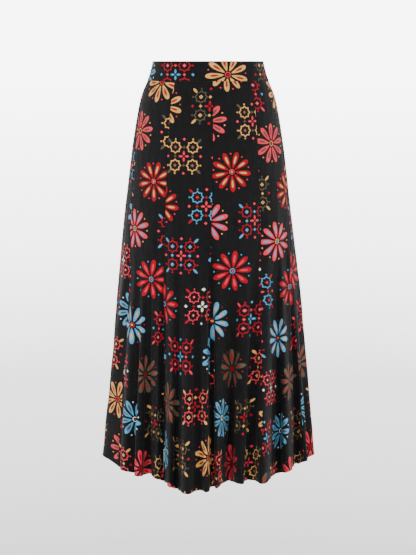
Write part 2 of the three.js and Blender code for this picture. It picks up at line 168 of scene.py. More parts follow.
def hem_curve():
    """The hem's plan in even steps of cloth: x, y, drop where its flute begins, extra length, place,
    and how much lower it hangs in a valley."""
    s = np.arange(PER_FLUTE)[:, None] / PER_FLUTE
    points, places, rest, lower = [], [], [], []
    for i, row in enumerate(FLUTES):
        start, end, crest = FLUTES[i - 1][2:4], row[2:4], row[:2]
        chord = end - start
        width = np.linalg.norm(chord)
        ahead = chord / width
        rise = crest - start - chord / 2
        half = abs(rise[0] * ahead[1] - rise[1] * ahead[0]) / 2
        curl = min(CURL * half * half / width, CURL_LIMIT * width)
        points.append(start + chord * s + rise * (1 - np.cos(2 * np.pi * s)) / 2
                      + ahead * curl * np.sin(4 * np.pi * s))
        places.append(i + s[:, 0])
        rest.append(np.repeat(row[None, 4:6], PER_FLUTE, 0))
        nearer = np.where(s[:, 0] < 0.5, VALLEY_DROPS[i - 1], VALLEY_DROPS[i])
        lower.append(nearer * ((1 + np.cos(2 * np.pi * s[:, 0])) / 2) ** VALLEY_POWER)
    points, places, rest, lower = (np.concatenate(rows) for rows in (points, places, rest, lower))
    lengths = np.concatenate([[0], np.cumsum(np.linalg.norm(np.roll(points, -1, 0) - points, axis=1))])
    at = np.arange(HEM_STEPS) / HEM_STEPS * lengths[-1]
    closed = np.vstack([points, points[:1]])
    even = np.stack([np.interp(at, lengths, closed[:, k]) for k in range(2)], 1)
    place = np.interp(at, lengths, np.append(places, len(FLUTES)))
    nearest = np.searchsorted(lengths, at, side="right") - 1
    stride = lengths[-1] / HEM_STEPS
    return np.column_stack([bell_mean(even, HEM_ROUNDING / stride),
                            bell_mean(rest[nearest], START_ROUNDING / stride), place,
                            bell_mean(lower[nearest], HEM_ROUNDING / stride)])


HEM = hem_curve()


def hem_at(cloth):
    """Row of the hem curve at a cloth position, which goes from 0 to 1 once round the skirt."""
    at = (np.asarray(cloth, float) % 1) * HEM_STEPS
    i = np.floor(at).astype(int) % HEM_STEPS
    u = (at - np.floor(at))[..., None]
    return HEM[i] * (1 - u) + HEM[(i + 1) % HEM_STEPS] * u


def seam_at(number):
    """A seam's turns and cloth position, going on round the skirt after the last one."""
    waist, hip, thigh, place = SEAMS[number % len(SEAMS)]
    rounds = number // len(SEAMS)
    cloth = int(np.argmax(HEM[:, 4] >= place)) / HEM_STEPS
    return np.array([waist, hip, thigh]) + 360 * rounds, cloth + rounds


def flute_place(gore, share):
    """Place along the flutes below a share of a gore: whole numbers are the valleys between them."""
    cloth_a, cloth_b = seam_at(gore)[1], seam_at(gore + 1)[1]
    at = np.round(((cloth_a + (cloth_b - cloth_a) * share) % 1) * HEM_STEPS).astype(int)
    return HEM[at % HEM_STEPS, 4]


def skirt_point(gore, share, drop):
    """Point of the skirt's middle surface."""
    (turns_a, cloth_a), (turns_b, cloth_b) = seam_at(gore), seam_at(gore + 1)
    share, drop = spread(share, drop)
    rows = np.column_stack([SEAM_DROPS, turns_a, turns_b])

    def turn_at(d):
        both = smooth_rows(rows, d)
        return both[..., 0] * (1 - share) + both[..., 1] * share

    hem = hem_at(cloth_a + (cloth_b - cloth_a) * share)
    plain = smooth_point(turn_at(drop), drop)
    full = np.full_like(drop, LENGTH)
    below = smooth_point(turn_at(full), full)
    grown = np.maximum(0, (drop - hem[..., 2]) / (LENGTH - hem[..., 2])) ** GROWTH
    plan = plain + (hem[..., :2] - below) * grown[..., None]
    inward = np.linalg.norm(below, axis=-1) - np.linalg.norm(hem[..., :2], axis=-1)
    lower = hem[..., 3] + VALLEY_SAG * np.maximum(0, inward) + hem[..., 5]
    return np.concatenate([plan, (-drop - lower * grown)[..., None]], -1)


def band_point(first, last, share, drop):
    """Point of the waistband's middle surface."""
    share, drop = spread(share, drop)
    plan = smooth_point(first + (last - first) * share, drop)
    return np.concatenate([plan, -drop[..., None]], -1)


def lining_point(first, last, share, drop):
    """Point of the lining: close behind the skirt down to the hip, then cut narrower than it."""
    share, drop = spread(share, drop)
    turn = first + (last - first) * share
    lower = np.clip((drop - LINING_FROM) / (LINING_END - LINING_FROM), 0, 1)[..., None]
    to_hip = np.clip((drop - BAND_DEPTH) / (LINING_FROM - BAND_DEPTH), 0, 1)[..., None]
    inset = LINING_INSET[0] + (LINING_INSET[1] - LINING_INSET[0]) * to_hip
    close = smooth_rows(SECTIONS, np.minimum(drop, LINING_FROM)) - inset
    size = close + (np.array(LINING_HEM) - close) * lower
    grown = np.maximum(0, (drop - WAVE_FROM) / (LINING_END - WAVE_FROM))
    size = size + (WAVE_DEPTH / 2 * grown * np.cos(np.radians(WAVE_COUNT * turn)))[..., None]
    return np.concatenate([oval(size, turn), -drop[..., None]], -1)


def widths(points):
    """Length of each row of a grid of points."""
    return np.linalg.norm(np.diff(points, axis=1), axis=-1).sum(1)


def trimmed(share, width_a, width_b, drop, zip_side, fold=0.0):
    """Shares moved back from the two edges, to keep free a seam's gap or the zip's width, and half the
    thickness of a folded edge. The widths are the millimetres of cloth to one share at each edge."""
    beside = np.where(drop <= ZIP_END, ZIP_WIDTH / 2 + SEAM_GAP, SEWN_GAP / 2) + fold
    plain = SEWN_GAP / 2 + fold
    start = beside if zip_side == "start" else plain
    end = beside if zip_side == "end" else plain
    return start / width_a + share * (1 - start / width_a - end / width_b)


def outward(points):
    """Unit normals of a grid whose rows go down and whose columns go round with the turn."""
    down = np.gradient(points, axis=0)
    across = np.gradient(points, axis=1)
    return unit(np.cross(down, across))


# Waves of the cloth's unevenness: spread of their slant in radians, and how much they run downward
SLANT, DOWNWARD = 0.5, 0.35


def ripples(seed, across, down, count, shortest, longest):
    """Soft unevenness of about unit height: a sum of slanting waves with seeded directions."""
    rng = np.random.RandomState(seed)
    total = np.zeros(np.broadcast(across, down).shape)
    for _ in range(count):
        wave = rng.uniform(shortest, longest)
        slant = rng.normal(0, SLANT)
        path = across * math.cos(slant) + down * math.sin(slant) * DOWNWARD
        total += np.sin(2 * np.pi * path / wave + rng.uniform(0, 2 * np.pi))
    return total / math.sqrt(count)


# Layout for baking: size of one side's island, its corner, the step to the other side's, and the rim
ISLAND, CORNER, OTHER_SIDE, RIM = (0.47, 0.97), (0.012, 0.015), (0.5, 0), 0.004


def shell(name, points, thickness, cloth):
    """Closed thin shell about a grid of points in millimetres. cloth holds each point's place on the
    flat cloth, across and down."""
    rows, columns = points.shape[:2]
    half = outward(points) * (thickness / 2)
    corners = np.concatenate([(points + half).reshape(-1, 3), (points - half).reshape(-1, 3)])
    count = rows * columns
    index = np.arange(count).reshape(rows, columns)
    a, b = index[:-1, :-1].ravel(), index[:-1, 1:].ravel()
    c, d = index[1:, 1:].ravel(), index[1:, :-1].ravel()
    outer = np.column_stack([a, d, c, b])
    inner = np.column_stack([a, b, c, d]) + count

    def wall(line):
        return np.column_stack([line[:-1], line[1:], line[1:] + count, line[:-1] + count])

    other_way = [0, 3, 2, 1]
    left, right = wall(index[:, 0])[:, other_way], wall(index[:, -1])
    top, end = wall(index[0]), wall(index[-1])[:, other_way]
    faces = np.concatenate([outer, inner, left, right, top, end])
    obj = mesh_object(name, corners, faces)

    side = np.repeat([0.0, 1.0], count)
    place = np.column_stack([np.tile(cloth.reshape(-1, 2) * MM, (2, 1)), side])
    store_vector(obj.data, "cloth", place)

    flat = cloth.reshape(-1, 2) - cloth.reshape(-1, 2).min(0)
    flat = flat / flat.max(0) * ISLAND + CORNER
    layout = np.concatenate([flat, flat + OTHER_SIDE])
    uv = layout[faces].copy()
    at = len(outer) + len(inner)
    for strip, step in ((left, (-RIM, 0)), (right, (RIM, 0)), (top, (0, -RIM)), (end, (0, RIM))):
        part = uv[at:at + len(strip)]
        other = strip >= count
        part[other] = part[other] - OTHER_SIDE + step
        at += len(strip)
    bake = obj.data.uv_layers.new(name="OFBake")
    bake.data.foreach_set("uv", uv.reshape(-1))

    edges = np.empty(len(obj.data.edges) * 2, int)
    obj.data.edges.foreach_get("vertices", edges)
    edges = edges.reshape(-1, 2)
    border = np.zeros((rows, columns), bool)
    border[[0, -1]] = True
    border[:, [0, -1]] = True
    on_border = np.tile(border.ravel(), 2)
    same_side = (edges[:, 0] >= count) == (edges[:, 1] >= count)
    sharp = obj.data.attributes.new("sharp_edge", "BOOLEAN", "EDGE")
    sharp.data.foreach_set("value", on_border[edges].all(1) & same_side)
    return obj


def add_object(name, data):
    obj = bpy.data.objects.new(name, data)
    bpy.context.scene.collection.objects.link(obj)
    return obj


def mesh_object(name, corners, faces):
    """Smooth-shaded object from points in millimetres."""
    mesh = bpy.data.meshes.new(name)
    mesh.from_pydata((np.asarray(corners) * MM).tolist(), [], np.asarray(faces).tolist())
    mesh.polygons.foreach_set("use_smooth", np.ones(len(mesh.polygons), bool))
    mesh.update()
    return add_object(name, mesh)


def store_vector(mesh, name, values):
    """Keeps a vector at each point of a mesh, for its material to read."""
    layer = mesh.attributes.new(name, "FLOAT_VECTOR", "POINT")
    layer.data.foreach_set("vector", np.asarray(values, float).reshape(-1))


# Soft creases inside the gores: gore, share at the top and at the end, drops of both, width, depth.
# A trough has a negative depth.
CREASES = [
    (0, 0.35, 0.30, 330, 720, 14, 2.2), (0, 0.66, 0.60, 400, 780, 12, -2.4),
    (0, 0.86, 0.88, 300, 900, 8, -2.6), (1, 0.16, 0.13, 260, 700, 10, 2.0),
    (1, 0.45, 0.38, 330, 760, 14, 2.2), (1, 0.74, 0.70, 480, 820, 10, -2.2),
    (1, 0.88, 0.86, 260, 780, 9, 1.8), (2, 0.12, 0.15, 300, 720, 9, 1.8),
    (2, 0.35, 0.30, 360, 700, 13, -2.2), (2, 0.62, 0.66, 300, 760, 16, 2.4),
    (2, 0.86, 0.88, 450, 900, 8, -2.6), (3, 0.13, 0.12, 300, 760, 8, 2.0),
    (3, 0.40, 0.36, 340, 760, 13, 2.2), (3, 0.72, 0.74, 420, 820, 12, -2.6),
    (4, 0.25, 0.28, 320, 800, 16, 2.4), (4, 0.55, 0.52, 380, 860, 14, -2.6),
    (4, 0.84, 0.86, 360, 780, 11, 1.8), (5, 0.30, 0.33, 330, 800, 16, 2.4),
    (5, 0.66, 0.62, 360, 840, 14, -2.6), (5, 0.88, 0.89, 320, 860, 9, -2.0),
    (6, 0.12, 0.10, 300, 820, 9, -2.0), (6, 0.28, 0.24, 350, 820, 15, -2.4),
    (6, 0.70, 0.74, 330, 800, 16, 2.4), (7, 0.34, 0.38, 360, 800, 14, 2.4),
    (7, 0.74, 0.70, 400, 860, 13, -2.4), (7, 0.90, 0.89, 330, 780, 9, 1.8)]

# Narrow folds at the bottom of the valleys between flutes: half width and depth, the drop where they
# begin, the drop over which they deepen and the power of that, the cloth in one flute, and the valleys
# where the lining leaves less room, with the share of the depth there
VALLEY_FOLD = (5.5, 7.0)
VALLEY_FROM, VALLEY_RUN, VALLEY_GROWTH = 520.0, 420.0, 0.8
FLUTE_CLOTH = 103.0
TIGHT_VALLEYS, TIGHT_SHARE = (8, 10), 0.4

# Troughs that run down along the seams: drops of both ends, half width and depth, by seam number
SEAM_FOLDS = [
    (420, 940, 9, -3.2), (300, 940, 8, -4.4), (240, 930, 7, -4.6), (300, 940, 8, -4.0),
    (420, 940, 9, -3.2), (430, 930, 9, -3.0), (400, 930, 9, -3.6), (420, 940, 9, -3.0)]
# The power that flattens the swell of a crease or trough, and the cloth beside a seam over which
# creases and unevenness fade out
SWELL_POWER, SEAM_CALM = 0.7, 14.0
# The seams are pressed flat: depth and half width of the groove
PRESSED = (0.8, 1.6)

# Unevenness of hanging cloth: seed, height, number of waves, shortest and longest wave
PUCKER = (40, 0.25, 5, 2.6, 6.5)
BELOW_BAND = (60, 0.2, 5, 7, 16)
DRAPE = (20, 0.75, 7, 38, 95)
CRUMPLE = (80, 0.2, 6, 11, 24)
# Puckers: how far they reach from the seam, the drop below the band over which they begin, and how
# much slower they change away from the seam. Reach of the waves below the band. The drape begins at
# one drop and is full after so much more.
PUCKER_REACH, PUCKER_RUN, PUCKER_STRETCH = 6.0, 20.0, 0.2
BELOW_BAND_REACH = 9.0
DRAPE_FROM, DRAPE_RUN = 120.0, 260.0


def uneven(kind, number, across, down):
    """One kind of unevenness, with its own waves for each gore or seam."""
    seed, height, count, shortest, longest = kind
    return height * ripples(seed + number, across, down, count, shortest, longest)


def swell(drop, first, last):
    """Rises from 0 at one drop and falls back to 0 at another."""
    return np.sin(np.pi * np.clip((drop - first) / (last - first), 0, 1)) ** SWELL_POWER


def gore_relief(gore, share, width, drop):
    """How far the cloth stands out from its middle surface: creases, the pressed seams, the little
    puckers beside them and the unevenness of hanging cloth. Both sides of a seam get the same."""
    across = share * width
    edge = np.minimum(share, 1 - share) * width
    inner = np.clip(edge / SEAM_CALM, 0, 1)
    out = np.zeros(share.shape)
    for row, top, end, first, last, size, depth in CREASES:
        if row == gore:
            centre = top + (end - top) * np.clip((drop - first) / (last - first), 0, 1)
            crease = np.exp(-0.5 * ((share - centre) * width / size) ** 2)
            out += depth * swell(drop, first, last) * crease * inner
    place = flute_place(gore, share)
    away = np.abs(place - np.round(place)) * FLUTE_CLOTH
    size, depth = VALLEY_FOLD
    tight = np.where(np.isin(np.round(place), TIGHT_VALLEYS), TIGHT_SHARE, 1.0)
    deeper = np.clip((drop - VALLEY_FROM) / VALLEY_RUN, 0, 1) ** VALLEY_GROWTH
    out -= depth * tight * deeper * np.exp(-((away / size) ** 2)) * inner
    for seam, away in ((gore, across), ((gore + 1) % len(SEAMS), (1 - share) * width)):
        first, last, size, depth = SEAM_FOLDS[seam]
        out += depth * swell(drop, first, last) * np.exp(-0.5 * (away / size) ** 2)
        faded = np.exp(-away / PUCKER_REACH) * np.clip((drop - BAND_DEPTH) / PUCKER_RUN, 0, 1)
        out += uneven(PUCKER, seam, away * PUCKER_STRETCH, drop) * faded
    depth, size = PRESSED
    out -= depth * np.exp(-((edge / size) ** 2))
    below_band = np.exp(-(drop - BAND_DEPTH) / BELOW_BAND_REACH)
    out += uneven(BELOW_BAND, gore, across, drop) * inner * below_band
    out += uneven(DRAPE, gore, across, drop) * inner * np.clip((drop - DRAPE_FROM) / DRAPE_RUN, 0, 1)
    out += uneven(CRUMPLE, gore, across, drop) * inner
    return out


# A hem's fold: rows by how far above the hem and how far inside the surface they lie, and then the
# number of rows of the turned part and how far inside it lies
HEM_FOLD = np.array([(0.35, 0.08), (0.05, 0.45), (0.05, 0.9), (0.35, 1.27)])
TURNED_COUNT, TURNED_INWARD = 7, 1.35


def turned_rows(top, end, count, turn):
    """Drops of rows down to a hem, round its fold and up inside as far as the stitching, and how far
    each row lies inside the surface."""
    down, up = np.linspace(top, end - 1, count), np.linspace(end - 1, end - turn, TURNED_COUNT)
    drops = np.concatenate([down, end - HEM_FOLD[:, 0], up])
    inward = np.concatenate([np.zeros(count), HEM_FOLD[:, 1], np.full(TURNED_COUNT, TURNED_INWARD)])
    return drops, inward


# The turned seam allowance, from its raw edge to the seam: how far back from the seam, how far inside
TUCK = np.array([(9.0, 1.1), (4.0, 1.15), (0.9, 1.1), (0.15, 0.75), (0.0, 0.4)])
# How much closer the columns of a piece are at its seams, and the shares that measure a row's width
CROWDING = 0.55
WIDTH_SHARES = np.linspace(0, 1, 241)[None, :]


def hang(name, surface, relief, rows, columns, zip_side, thickness, offset):
    """Cloth piece with a turned hem, from its middle surface(share, drop). Returns the object, its
    grid of points, its largest width, its length and the flat area of the cut, with no allowances at
    the sides."""
    drops, inward = rows
    column = drops[:, None]
    even = np.linspace(0, 1, columns)[None, :]
    share = even - CROWDING * np.sin(2 * np.pi * even) / (2 * np.pi)
    width = widths(surface(WIDTH_SHARES, column))[:, None]
    step = PROBE / width
    width_a = np.linalg.norm(surface(step, column) - surface(0 * step, column), axis=-1) / step
    width_b = np.linalg.norm(surface(1 + 0 * step, column) - surface(1 - step, column), axis=-1) / step
    cut = trimmed(share, width_a, width_b, column, zip_side, thickness / 2)
    back, under = TUCK.T
    cut = np.concatenate([cut[:, :1] + back / width_a, cut, cut[:, -1:] - back[::-1] / width_b], 1)
    under = np.concatenate([under, np.zeros(columns), under[::-1]])
    at = np.broadcast_to(column, cut.shape)
    points = surface(cut, at)
    down = points - surface(cut, at - PROBE)
    normal = unit(np.cross(down, surface(cut + step, at) - surface(cut - step, at)))
    points = points + normal * (relief(cut, width, at) - inward[:, None] - under)[..., None]
    path = drops[0] + np.concatenate([[0], np.cumsum(np.hypot(np.diff(drops), np.diff(inward)))])
    across = (cut - 0.5) * width
    n = len(TUCK)
    across[:, :n] = across[:, n:n + 1] - back - 1
    across[:, -n:] = across[:, -n - 1:-n] + back[::-1] + 1
    cloth = np.stack([across + offset[0], np.broadcast_to(path[:, None] + offset[1], cut.shape)], -1)
    obj = shell(name, points, thickness, cloth)
    area = float(np.sum((width[1:, 0] + width[:-1, 0]) / 2 * np.diff(path)))
    return obj, points, float(width.max()), path[-1] - path[0], area


# A stitch's shape: place along it and share of its thickness there, which never falls below the last
STITCH, STITCH_TIP = ((-0.5, 0), (-0.3, 1), (0.3, 1), (0.5, 0)), 0.15


def stitches(name, line, normal, pitch, long, size):
    """Row of small machine stitches, or of a zip's loops, that lie along a line of points."""
    steps = np.linalg.norm(np.diff(line, axis=0), axis=1)
    along = np.concatenate([[0], np.cumsum(steps)])
    count = int(along[-1] // pitch)
    centre = (np.arange(count) + 0.5) * along[-1] / count

    def on(rows, at):
        return np.array([np.interp(at, along, rows[:, k]) for k in range(3)])

    corners, faces = [], []
    ring = [(0, 1), (1, 0), (0, -1), (-1, 0)]
    for middle in centre:
        first = len(corners)
        for offset, width in STITCH:
            at = np.clip(middle + offset * long, 0, along[-1])
            place, out = on(line, at), on(normal, at)
            side = np.cross(out, on(line, at + PROBE) - place)
            side /= max(np.linalg.norm(side), 1e-9)
            for across, up in ring:
                corners.append(place + (side * across + out * up) * size / 2 * max(width, STITCH_TIP))
        for k in range(3):
            for j in range(4):
                a, b = first + 4 * k + j, first + 4 * k + (j + 1) % 4
                faces.append((a, b, b + 4, a + 4))
        faces.append((first + 3, first + 2, first + 1, first))
        faces.append((first + 12, first + 13, first + 14, first + 15))
    return mesh_object(name, corners, faces)


def tube(count, around):
    """Indices of equal rings of points, and the faces that join the rings."""
    index = np.arange(count * around).reshape(count, around)
    turned = np.roll(index, -1, axis=1)
    return index, np.stack([index[:-1], index[1:], turned[1:], turned[:-1]], -1).reshape(-1, 4)


def loft(name, rings, cloth):
    """Closed solid from equal rings of points, capped at both ends."""
    index, sides = tube(*rings.shape[:2])
    mesh = mesh_object(name, rings.reshape(-1, 3), sides)
    build = bmesh.new()
    build.from_mesh(mesh.data)
    build.verts.ensure_lookup_table()
    build.faces.new([build.verts[i] for i in index[0]])
    build.faces.new([build.verts[i] for i in index[-1][::-1]])
    bmesh.ops.recalc_face_normals(build, faces=build.faces)
    build.to_mesh(mesh.data)
    build.free()
    mesh.data.polygons.foreach_set("use_smooth", np.ones(len(mesh.data.polygons), bool))
    store_vector(mesh.data, "cloth", cloth.reshape(-1, 3) * MM)
    return mesh


# Waistband: first and last drop of its two faces and their rows, how far its lower and upper corners
# lie in from the faces and their drops, columns to a degree, and two kinds of unevenness, as above
BAND_FACE, BAND_ROWS = (1.2, BAND_DEPTH - 0.9), 22
BAND_LOWER, BAND_END = (0.22, BAND_DEPTH - 0.35), BAND_DEPTH - 0.1
BAND_UPPER, BAND_TOP = (0.3, 0.45), 0.05
BAND_COLUMNS = 1.2
BAND_SOFT, BAND_SEAM = (0, 0.16, 6, 14, 42), (1, 0.14, 5, 5, 11)
BAND_SEAM_REACH = 6.0


def make_band(name, first, last, offset, zip_side):
    """Waistband piece: one closed profile, rounded over the top fold and at the lower seam."""
    half = BAND_CLOTH / 2
    face = np.linspace(*BAND_FACE, BAND_ROWS)
    inset, low = BAND_LOWER
    profile = [(0.0, d) for d in face]
    profile += [(inset, low), (half, BAND_END), (BAND_CLOTH - inset, low)]
    inset, high = BAND_UPPER
    profile += [(BAND_CLOTH, d) for d in face[::-1]]
    profile += [(BAND_CLOTH - inset, high), (half, BAND_TOP), (inset, high)]
    profile = np.array(profile)
    share = np.linspace(0, 1, int(abs(last - first) * BAND_COLUMNS))[:, None]
    drop = profile[None, :, 1]
    width = widths(band_point(first, last, WIDTH_SHARES, profile[:, 1:]))[None, :]
    cut = trimmed(share, width, width, drop, zip_side)
    at = np.broadcast_to(drop, cut.shape)
    points = band_point(first, last, cut, at)
    across = np.gradient(points, axis=0)
    down = band_point(first, last, cut, at + PROBE) - points
    normal = unit(np.cross(down, across))
    soft = uneven(BAND_SOFT, offset[0], cut * width, at)
    soft += uneven(BAND_SEAM, offset[0], cut * width, at) * np.exp(-(BAND_DEPTH - at) / BAND_SEAM_REACH)
    out = half - profile[None, :, 0] + np.where(profile[:, 0] < half, soft, 0)
    points = points + normal * out[..., None]
    side = np.broadcast_to(profile[:, 0] > half, at.shape) / MM
    cloth = np.stack([(cut - 0.5) * width + offset[0], at + offset[1], side], -1)
    return loft(name, points, cloth), float(width.max())


class Value:
    """Number that varies over a surface. Arithmetic on it adds Math nodes to its material."""

    def __init__(self, tree, socket):
        self.tree, self.socket = tree, socket

    def math(self, operation, *others):
        node = self.tree.nodes.new("ShaderNodeMath")
        node.operation = operation
        for socket, item in zip(node.inputs, (self, *others)):
            if isinstance(item, Value):
                self.tree.links.new(item.socket, socket)
            else:
                socket.default_value = item
        return Value(self.tree, node.outputs[0])

    def __add__(self, other):
        return self.math("ADD", other)

    def __sub__(self, other):
        return self.math("SUBTRACT", other)

    def __mul__(self, other):
        return self.math("MULTIPLY", other)

    def __truediv__(self, other):
        return self.math("DIVIDE", other)

    def __rsub__(self, other):
        return self * -1.0 + other

    def abs(self):
        return self.math("ABSOLUTE")

    def floor(self):
        return self.math("FLOOR")

    def least(self, other):
        return self.math("MINIMUM", other)

    def most(self, other):
        return self.math("MAXIMUM", other)

    def wrap(self, span):
        """Distance from the nearest multiple of span, with its sign."""
        return self - (self / span + 0.5).floor() * span


def length(a, b):
    return (a * a + b * b).math("SQRT")


def inside(distance):
    """1 where distance is below 0 and 0 where it is above, over a short soft edge."""
    return (distance * (-1.0 / SOFT_EDGE) + 0.5).most(0.0).least(1.0)


def new_material(name):
    material = bpy.data.materials.new(name)
    material.use_nodes = True
    return material, material.node_tree, material.node_tree.nodes["Principled BSDF"]


def set_inputs(node, values):
    for name, value in values.items():
        node.inputs[name].default_value = value


class Cloth:
    """Node tree of one cloth material, with the cloth's own coordinates in millimetres."""

    def __init__(self, name):
        self.material, self.tree, self.shader = new_material(name)
        attribute = self.tree.nodes.new("ShaderNodeAttribute")
        attribute.attribute_name = "cloth"
        self.place = attribute.outputs["Vector"]
        split = self.tree.nodes.new("ShaderNodeSeparateXYZ")
        self.tree.links.new(self.place, split.inputs[0])
        self.u = Value(self.tree, split.outputs[0]) / MM
        self.v = Value(self.tree, split.outputs[1]) / MM
        self.reverse = Value(self.tree, split.outputs[2])

    def noise(self, scale, detail):
        node = self.tree.nodes.new("ShaderNodeTexNoise")
        set_inputs(node, {"Scale": scale, "Detail": detail})
        self.tree.links.new(self.place, node.inputs["Vector"])
        return Value(self.tree, node.outputs["Fac"])

    def ribs(self, along, pitch, grain):
        """Height of even ribs, with a fine grain over them."""
        return (along * (2 * math.pi / pitch)).math("SINE") * 0.5 + self.noise(grain, 2)

    def threads(self, pitch):
        """Plain weave: warp and weft threads that pass over each other in turn, from 0 to 1."""
        step = math.pi / pitch
        warp = (self.u * step).math("SINE") * (self.v * step).math("SINE")
        return warp * 0.5 + 0.5

    def pick(self, value, names):
        """Colour of a cell: one of the named inks."""
        ramp = self.tree.nodes.new("ShaderNodeValToRGB")
        ramp.color_ramp.interpolation = "CONSTANT"
        stops = ramp.color_ramp.elements
        for k, name in enumerate(names):
            stop = stops[k] if k < 2 else stops.new(k / len(names))
            stop.position = k / len(names)
            stop.color = (*linear(INKS[name]), 1)
        self.tree.links.new(value.socket, ramp.inputs[0])
        return ramp.outputs[0]

    def lay(self, under, over, mask):
        """One colour over another where mask is 1."""
        node = self.tree.nodes.new("ShaderNodeMix")
        node.data_type = "RGBA"
        for socket, item in ((node.inputs[6], under), (node.inputs[7], over)):
            if isinstance(item, str):
                socket.default_value = (*linear(INKS[item]), 1)
            else:
                self.tree.links.new(item, socket)
        self.tree.links.new(mask.socket, node.inputs[0])
        return node.outputs[2]

    def finish(self, colour, height, distance, roughness, sheen, specular):
        """Gives the shader its colour and gloss, and a bump that is distance deep, in metres."""
        links = self.tree.links
        links.new(colour, self.shader.inputs["Base Color"])
        bump = self.tree.nodes.new("ShaderNodeBump")
        set_inputs(bump, {"Distance": distance})
        links.new(height.socket, bump.inputs["Height"])
        links.new(bump.outputs[0], self.shader.inputs["Normal"])
        set_inputs(self.shader, {"Roughness": roughness, "Sheen Weight": sheen,
                                 "Sheen Roughness": 0.45, "Specular IOR Level": specular})
        return self.material


# Inks of the print, red, green and blue from 0 to 255
INKS = {
    "ground": (11, 11, 12), "shade": (3, 3, 4), "coral": (179, 44, 57), "red": (132, 5, 21),
    "blue": (63, 124, 156), "tan": (179, 133, 69), "olive": (64, 60, 45), "white": (194, 190, 176),
    "satin": (26, 26, 30), "satin shade": (13, 13, 15)}


def linear(colour):
    """Light values of a screen colour."""
    return tuple((c / 255 / 12.92) if c <= 10 else ((c / 255 + 0.055) / 1.055) ** 2.4 for c in colour)


# The print, in millimetres: from one flower to the next across and down, the soft edge of the inks,
# how far they run across and down, and what is taken off the edge of a leaf or petal
PITCH, RISE = 212.0, 110.0
SOFT_EDGE, RUN, TAKEN = 0.3, (1.5, 1.2), 0.35
# Noise of the inks' edges, the crepe's pebbles and the uneven dye: scale and detail
EDGE_NOISE, PEBBLES, DYE = (420, 2), (650, 3), (35, 3)
# Pitch of the threads, how much threads and pebbles darken the inks, less so much and at most so
# much, the dye's level that darkens them and by how much, and how much the reverse is darkened
THREAD_PITCH = 0.62
THREAD_DARK, PEBBLE_DARK, DARK_LESS, DARK_MOST = 0.22, 0.5, 0.18, 0.5
DYE_FROM, DYE_DARK, REVERSE_DARK = 0.42, 0.6, 0.5
# Flower: number of petals. Petals and their hearts: where they begin, length, width and the width
# gained toward the tip. Dots: distance from the centre and radius. Ring: radius and half width. The
# eye's radius. How much each flower is turned from the one beside and the one above
PETALS = 9
PETAL, HEART = (8.0, 37.0, 7.0, 9.5), (17.0, 19.0, 4.2, 2.0)
DOT, RING, EYE = (40.0, 1.7), (5.2, 0.9), 2.4
TURN_STEPS = (0.37, 0.61)
# Block: distance of the stars from its centre, their radius and half width of line, and the diamonds
# in them. Leaf and floret: where they begin, length and width. Distances and size of the small
# diamonds, and radius of the dots
STAR_AT, STAR, STAR_HEARTS = 20.0, (9.4, 1.15), (4.6, 1.9)
LEAF, LOBE = (41.0, 13.0, 6.0), (2.0, 10.0, 5.6)
DIAMONDS, DIAMOND, BLOCK_DOT = (20.0, 37.5), 3.6, 1.9
HALF_ROOT = 0.7071
# Inks by cell, of the flower's petals, hearts and dots and of the block's three colours, and the
# steps from one to the next across and down, with their start
FLOWER_INKS = [
    ["coral", "red", "tan", "blue", "coral", "olive", "red", "blue", "coral"],
    ["red", "coral", "red", "tan", "olive", "red", "tan", "olive", "blue"],
    ["red", "blue", "coral", "red", "tan", "red", "coral", "white", "tan"]]
BLOCK_INKS = [
    ["coral", "blue", "red", "tan", "coral", "olive", "red"],
    ["tan", "red", "coral", "olive", "red", "tan", "blue"],
    ["red", "coral", "blue", "coral", "white", "red", "coral"]]
FLOWER_STEPS, BLOCK_STEPS = (4 / 9, 2 / 9, 0.05), (3 / 7, 5 / 7, 0.07)


def bump_width(part, size):
    """Half width of a leaf or petal along its length, with nothing left at its tips."""
    return (part * (1.0 - part)).math("SQRT") * size - TAKEN


def cell_tone(across, down, steps):
    """Value from 0 to 1 that chooses the colours of a motif by its place."""
    return (across * steps[0] + down * steps[1] + steps[2]).math("FRACT")


def along_part(distance, start, long):
    """Place along a leaf or petal, from 0 to 1."""
    return ((distance - start) / long).most(0.0).least(1.0)


def printed(name):
    """Printed crepe: rows of nine-petal flowers and blocks of four stars on a black ground."""
    cloth = Cloth(name)
    edge = cloth.noise(*EDGE_NOISE) - 0.5
    u, v = cloth.u + edge * RUN[0], cloth.v + edge * RUN[1]
    row = (v / RISE + 0.5).floor()
    y = v - row * RISE
    shift = (row - (row / 2.0).floor() * 2.0) * (PITCH / 4)
    column = ((u - shift) / PITCH + 0.5).floor()
    x = u - shift - column * PITCH
    colour = flower(cloth, x, y, row, column)
    colour = block(cloth, colour, x, y, row, ((u - shift) / PITCH).floor())

    # The crepe: threads that show through the inks, uneven dye, and a darker reverse
    thread = cloth.threads(THREAD_PITCH)
    pebble = cloth.noise(*PEBBLES)
    dark = (thread * THREAD_DARK + pebble * PEBBLE_DARK - DARK_LESS).most(0.0).least(DARK_MOST)
    colour = cloth.lay(colour, "shade", dark)
    colour = cloth.lay(colour, "shade", (cloth.noise(*DYE) - DYE_FROM).most(0.0) * DYE_DARK)
    colour = cloth.lay(colour, "ground", cloth.reverse * REVERSE_DARK)
    return cloth.finish(colour, thread * 0.5 + pebble, distance=0.0006, roughness=0.8, sheen=0.015,
                        specular=0.06)


